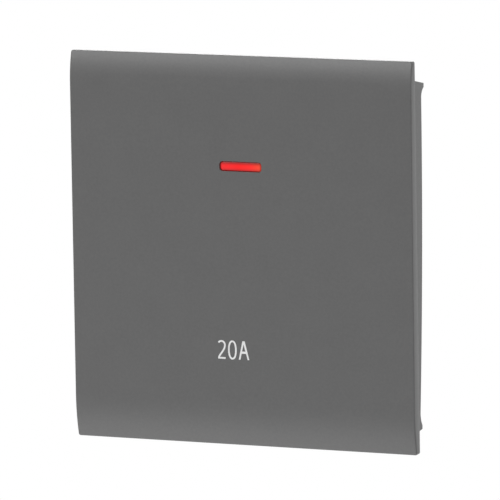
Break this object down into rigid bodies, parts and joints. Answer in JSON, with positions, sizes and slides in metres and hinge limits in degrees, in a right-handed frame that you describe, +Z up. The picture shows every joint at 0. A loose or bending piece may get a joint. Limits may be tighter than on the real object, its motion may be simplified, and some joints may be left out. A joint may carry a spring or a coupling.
{
  "type": "water heater switch",
  "caption": "Square wall switch for a water heater: full-face grey rocker with a lit red window, slim surround frame, steel yoke and isolating mechanism behind.",
  "frame": {"origin": "centre of the two fixing holes, on the wall's surface", "axes": "+Y into the wall, +Z up, +X to the right of someone facing the switch"},
  "size_m": [0.086, 0.037, 0.092],
  "materials": {
    "grey_cover": "fine matte",
    "grey_frame": "fine matte",
    "red_lens": "translucent, lit",
    "white_acetal": "moulded",
    "light_grey_moulding": "moulded",
    "ivory_moulding": "moulded",
    "zinc_plated_steel": "zinc plated",
    "zinc_plated_screw": "zinc plated",
    "spring_steel": "drawn wire",
    "terminal_brass": "machined",
    "contact_brass": "stamped",
    "silver": "silver rivet",
    "circuit_board": "solder resist",
    "led_resin": "clear resin",
    "clear_acrylic": "polished",
    "resistor_body": "lacquered",
    "diode_body": "moulded",
    "wire_sleeve": "PVC sleeve",
    "plunger_nylon": "moulded"
  },
  "bodies": {
    "base": {"surround_frame": "grey_frame", "mounting_yoke": "zinc_plated_steel", "mechanism_front": "light_grey_moulding", "mechanism_housing": "ivory_moulding", "housing_screws": "zinc_plated_screw", "load_contact_tips": "silver", "terminal_screws": "zinc_plated_screw", "earth_terminal": "terminal_brass", "earth_screw": "zinc_plated_screw", "indicator_board": "circuit_board", "indicator_led": "led_resin", "light_guide": "clear_acrylic", "dropper_resistor": "resistor_body", "blocking_diode": "diode_body", "indicator_leads": "wire_sleeve", "supply_contact_line": "contact_brass", "load_contact_line": "contact_brass", "terminal_line_in": "terminal_brass", "terminal_line_out": "terminal_brass", "supply_contact_neutral": "contact_brass", "load_contact_neutral": "contact_brass", "terminal_neutral_in": "terminal_brass", "terminal_neutral_out": "terminal_brass"},
    "rocker": {"rocker_cover": "grey_cover", "indicator_lens": "red_lens", "rocker_carrier": "white_acetal"},
    "actuator": {"contact_actuator": "white_acetal", "drive_pin": "spring_steel", "plunger_spring_line": "spring_steel", "plunger_spring_neutral": "spring_steel"},
    "plunger_line": {"plunger_line": "plunger_nylon"},
    "contact_line": {"moving_contact_line": "contact_brass", "moving_tip_line": "silver"},
    "plunger_neutral": {"plunger_neutral": "plunger_nylon"},
    "contact_neutral": {"moving_contact_neutral": "contact_brass", "moving_tip_neutral": "silver"}
  },
  "joints": [
    {"name": "rocker_tilt", "type": "hinge", "parent": "base", "child": "rocker", "pos_m": [0, -0.0052, 0], "axis": [1, 0, 0], "range_deg": [-4.4, 0]},
    {"name": "actuator_tilt", "type": "hinge", "parent": "base", "child": "actuator", "pos_m": [0, 0.0098, 0], "axis": [1, 0, 0], "range_deg": [0, 22]},
    {"name": "contact_tilt_line", "type": "hinge", "parent": "base", "child": "contact_line", "pos_m": [0, 0.0183, 0], "axis": [1, 0, 0], "range_deg": [-13.2, 0]},
    {"name": "contact_tilt_neutral", "type": "hinge", "parent": "base", "child": "contact_neutral", "pos_m": [0, 0.0183, 0], "axis": [1, 0, 0], "range_deg": [-13.2, 0]},
    {"name": "plunger_slide_line", "type": "slide", "parent": "actuator", "child": "plunger_line", "axis": [0, -0.9816, 0.1908], "range_m": [0, 0.0006], "stiffness_N_per_m": 800, "springref_m": -0.002, "deforming": ["plunger_spring_line"]},
    {"name": "plunger_slide_neutral", "type": "slide", "parent": "actuator", "child": "plunger_neutral", "axis": [0, -0.9816, 0.1908], "range_m": [0, 0.0006], "stiffness_N_per_m": 800, "springref_m": -0.002, "deforming": ["plunger_spring_neutral"]}
  ],
  "couplings": [
    {"joint": "actuator_tilt", "follows": "rocker_tilt", "ratio": -5},
    {"joint": "contact_tilt_line", "follows": "rocker_tilt", "ratio": 3},
    {"joint": "contact_tilt_neutral", "follows": "rocker_tilt", "ratio": 3}
  ]
}
